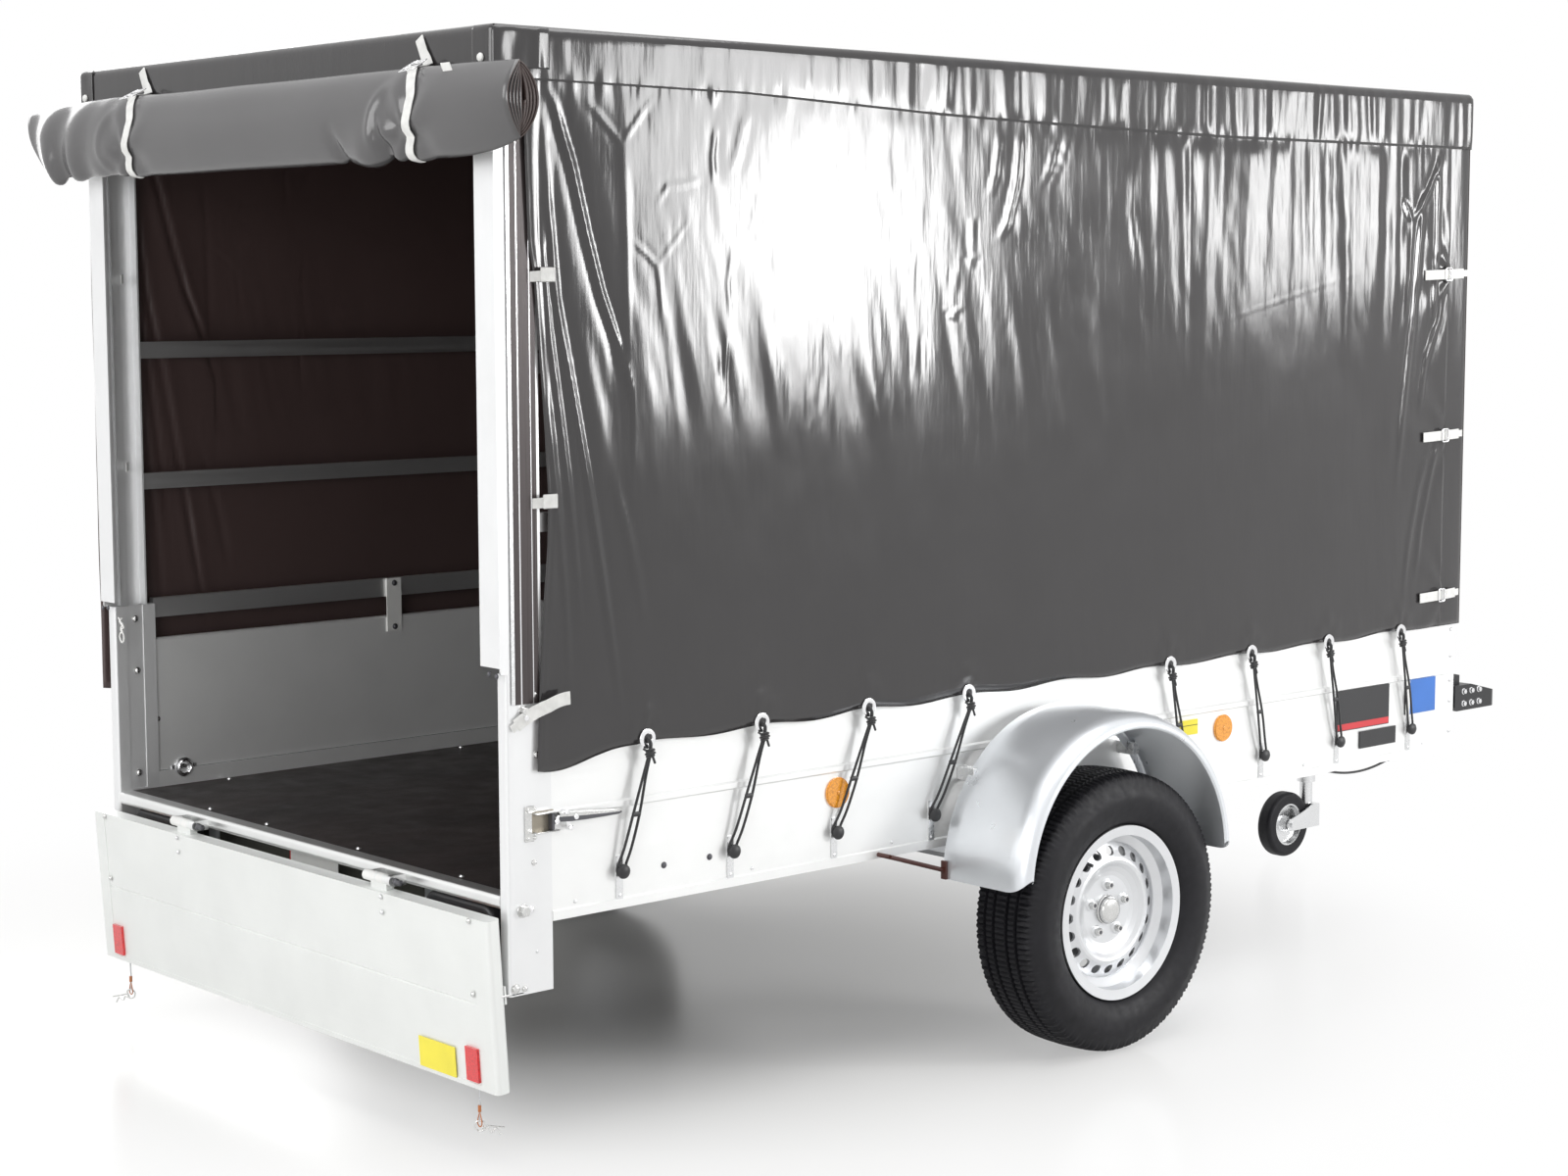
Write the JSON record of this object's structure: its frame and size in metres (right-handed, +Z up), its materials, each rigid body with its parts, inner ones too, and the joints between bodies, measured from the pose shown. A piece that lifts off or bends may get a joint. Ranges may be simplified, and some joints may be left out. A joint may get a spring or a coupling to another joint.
{
  "type": "covered utility trailer",
  "caption": "Single-axle box trailer with aluminium sides, a hanging tailgate, a V drawbar with jockey wheel and a tall tarpaulin over a slatted frame.",
  "frame": {"origin": "on the ground under the middle of the overall length and width", "axes": "+X forward to the coupling, +Y to the left, +Z up"},
  "size_m": [4.5011, 2.102, 2.18],
  "materials": {
    "plywood": "matt phenolic film",
    "alu": "natural anodised",
    "alu_floor_edge": "mill finish",
    "galvanised": "hot-dip galvanised",
    "zinc": "zinc plated",
    "tarpaulin": "coated, semi-gloss",
    "strap": "woven",
    "elastic": "braided cover",
    "cord": "plastic-coated",
    "black_plastic": "matt",
    "plate_white": "smooth",
    "lens_amber": "prismatic",
    "lens_red": "prismatic",
    "tyre": "matt",
    "wheel_steel": "silver paint",
    "drum_steel": "painted",
    "black_paint": "semi-gloss",
    "slat_alu": "mill finish"
  },
  "bodies": {
    "chassis": {"floor_board": "plywood", "cross_members": "galvanised", "side_rails": "alu", "side_walls": "alu", "front_wall": "alu", "corner_posts": "alu", "rear_sill": "alu_floor_edge", "lamp_carrier": "galvanised", "tail_lamps": "black_plastic", "plate_holder": "plate_white", "side_latches": "zinc", "side_reflectors": "lens_amber", "cover_stakes": "alu", "roof_rails": "zinc", "roof_bows": "zinc", "cover_slats": "slat_alu", "slat_brackets": "zinc", "cover": "tarpaulin", "flap_roll": "tarpaulin", "roll_straps": "strap", "elastic_ties": "elastic", "tie_buttons": "black_plastic", "axle": "galvanised", "mudguards": "galvanised", "guard_stays": "zinc", "wiring_lead": "black_plastic", "drawbar_beams": "galvanised", "overrun_unit": "black_paint", "coupling_head": "black_paint", "brake_lever": "zinc", "jockey_clamp": "galvanised"},
    "wheel_left": {"tyre_left": "tyre", "rim_left": "wheel_steel", "drum_left": "drum_steel"},
    "wheel_right": {"tyre_right": "tyre", "rim_right": "wheel_steel", "drum_right": "drum_steel"},
    "tailgate": {"gate_panel": "alu", "gate_frame": "alu", "gate_reflectors": "lens_red", "gate_lanyards": "cord", "lanyard_clips": "zinc"},
    "jockey_tube": {"jockey_tube": "zinc"},
    "jockey_leg": {"jockey_leg": "zinc"},
    "jockey_fork": {"jockey_fork": "zinc"},
    "jockey_wheel": {"jockey_tyre": "tyre", "jockey_rim": "zinc"}
  },
  "joints": [
    {"name": "wheel_left_spin", "type": "hinge", "parent": "chassis", "child": "wheel_left", "pos_m": [-0.64137, 0.948, 0.314], "axis": [0, 1, 0], "continuous": true},
    {"name": "wheel_right_spin", "type": "hinge", "parent": "chassis", "child": "wheel_right", "pos_m": [-0.64137, -0.948, 0.314], "axis": [0, 1, 0], "continuous": true},
    {"name": "tailgate_hinge", "type": "hinge", "parent": "chassis", "child": "tailgate", "pos_m": [-2.16137, 0, 0.512], "axis": [0, 1, 0], "range_deg": [0, 183.6]},
    {"name": "jockey_tube_slide", "type": "slide", "parent": "chassis", "child": "jockey_tube", "axis": [0, 0, 1], "range_m": [0, 0.145]},
    {"name": "jockey_leg_slide", "type": "slide", "parent": "jockey_tube", "child": "jockey_leg", "axis": [0, 0, 1], "range_m": [-0.15, 0.05]},
    {"name": "jockey_swivel", "type": "hinge", "parent": "jockey_leg", "child": "jockey_fork", "pos_m": [1.43663, 0.072, 0.15], "axis": [0, 0, 1], "continuous": true},
    {"name": "jockey_wheel_spin", "type": "hinge", "parent": "jockey_fork", "child": "jockey_wheel", "pos_m": [1.32863, 0.072, 0.096], "axis": [0, 1, 0], "continuous": true}
  ]
}
